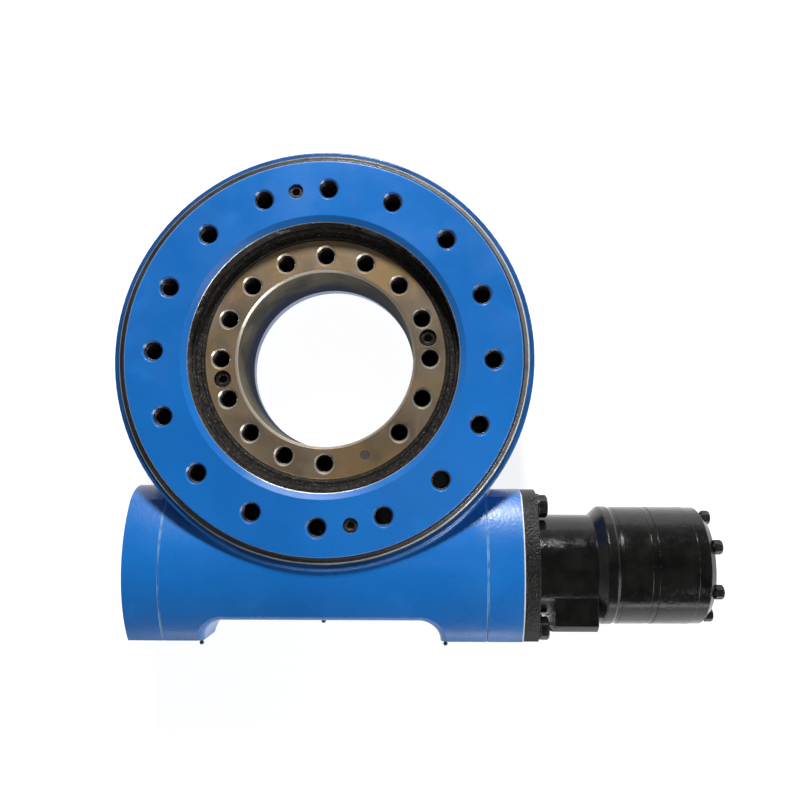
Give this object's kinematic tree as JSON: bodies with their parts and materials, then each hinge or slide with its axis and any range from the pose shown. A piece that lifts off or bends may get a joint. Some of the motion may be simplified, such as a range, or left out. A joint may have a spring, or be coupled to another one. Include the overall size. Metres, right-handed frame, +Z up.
{
  "type": "slewing ring drive",
  "caption": "Ring bearing with an external worm gear in a cast housing, turned by an oil motor; bolt circles on both rings and an open centre bore.",
  "frame": {"origin": "on the slewing axis at the underside of the base plate", "axes": "+Z up the slewing axis, +X along the worm towards the motor, worm on the -Y side"},
  "size_m": [0.4812, 0.4021, 0.104],
  "materials": {
    "blue_paint": "satin paint",
    "ring_paint": "satin paint",
    "raw_steel": "turned, lightly oiled",
    "bearing_steel": "ground",
    "hardened_steel": "machined",
    "screw_steel": "black oxide",
    "seal_rubber": "matt",
    "band_seal": "satin",
    "cast_black": "rough cast, black paint",
    "gloss_black": "gloss paint",
    "cage_steel": "pressed",
    "spacer_plastic": "moulded",
    "plug_steel": "plated"
  },
  "bodies": {
    "frame": {"housing": "blue_paint", "worm_end_cover": "blue_paint", "inner_ring": "raw_steel", "inner_ring_screws": "screw_steel", "loading_plug": "raw_steel", "taper_pin": "hardened_steel", "inner_seal": "seal_rubber", "outer_seal": "band_seal", "lower_seal": "seal_rubber", "bearing_cup_left": "bearing_steel", "bearing_cup_right": "bearing_steel", "worm_cover_screws": "screw_steel", "worm_cover_oring": "seal_rubber", "bearing_sleeve": "hardened_steel", "adapter_flange": "cast_black", "flange_bolts": "screw_steel", "motor_screws": "screw_steel", "shaft_seal": "seal_rubber", "motor_body": "gloss_black", "port_plug": "plug_steel", "spacer_plate": "gloss_black", "gerotor_ring": "gloss_black", "gerotor_rolls": "bearing_steel", "motor_end_cover": "gloss_black", "motor_end_bolts": "screw_steel", "grease_nipples": "plug_steel"},
    "ring": {"gear_ring": "ring_paint", "ring_grease_plugs": "plug_steel"},
    "ball_set": {"balls": "bearing_steel", "ball_spacers": "spacer_plastic"},
    "worm": {"worm_shaft": "hardened_steel", "bearing_cone_left": "bearing_steel", "bearing_cone_right": "bearing_steel", "motor_shaft": "hardened_steel", "shaft_key": "hardened_steel"},
    "left_roller_set": {"bearing_rollers_left": "bearing_steel", "bearing_cage_left": "cage_steel"},
    "right_roller_set": {"bearing_rollers_right": "bearing_steel", "bearing_cage_right": "cage_steel"},
    "link": {"drive_link": "hardened_steel"},
    "star": {"gerotor_star": "hardened_steel"}
  },
  "joints": [
    {"name": "ring_spin", "type": "hinge", "parent": "frame", "child": "ring", "pos_m": [0, 0, 0.0495], "axis": [0, 0, 1], "continuous": true},
    {"name": "ball_orbit", "type": "hinge", "parent": "frame", "child": "ball_set", "pos_m": [0, 0, 0.0495], "axis": [0, 0, 1], "continuous": true},
    {"name": "worm_spin", "type": "hinge", "parent": "frame", "child": "worm", "pos_m": [0, -0.168, 0.0495], "axis": [1, 0, 0], "continuous": true},
    {"name": "left_roller_orbit", "type": "hinge", "parent": "frame", "child": "left_roller_set", "pos_m": [-0.0986, -0.168, 0.0495], "axis": [1, 0, 0], "continuous": true},
    {"name": "right_roller_orbit", "type": "hinge", "parent": "frame", "child": "right_roller_set", "pos_m": [0.0995, -0.168, 0.0495], "axis": [1, 0, 0], "continuous": true},
    {"name": "link_orbit", "type": "hinge", "parent": "frame", "child": "link", "pos_m": [0.223, -0.168, 0.0495], "axis": [1, 0, 0], "continuous": true},
    {"name": "star_spin", "type": "hinge", "parent": "link", "child": "star", "pos_m": [0.278, -0.168, 0.0523], "axis": [1, 0, 0], "continuous": true}
  ],
  "couplings": [
    {"joint": "ball_orbit", "follows": "ring_spin", "ratio": 0.5306},
    {"joint": "worm_spin", "follows": "ring_spin", "ratio": -61},
    {"joint": "left_roller_orbit", "follows": "ring_spin", "ratio": -26.314},
    {"joint": "right_roller_orbit", "follows": "ring_spin", "ratio": -26.314},
    {"joint": "link_orbit", "follows": "ring_spin", "ratio": 366},
    {"joint": "star_spin", "follows": "ring_spin", "ratio": -427}
  ]
}
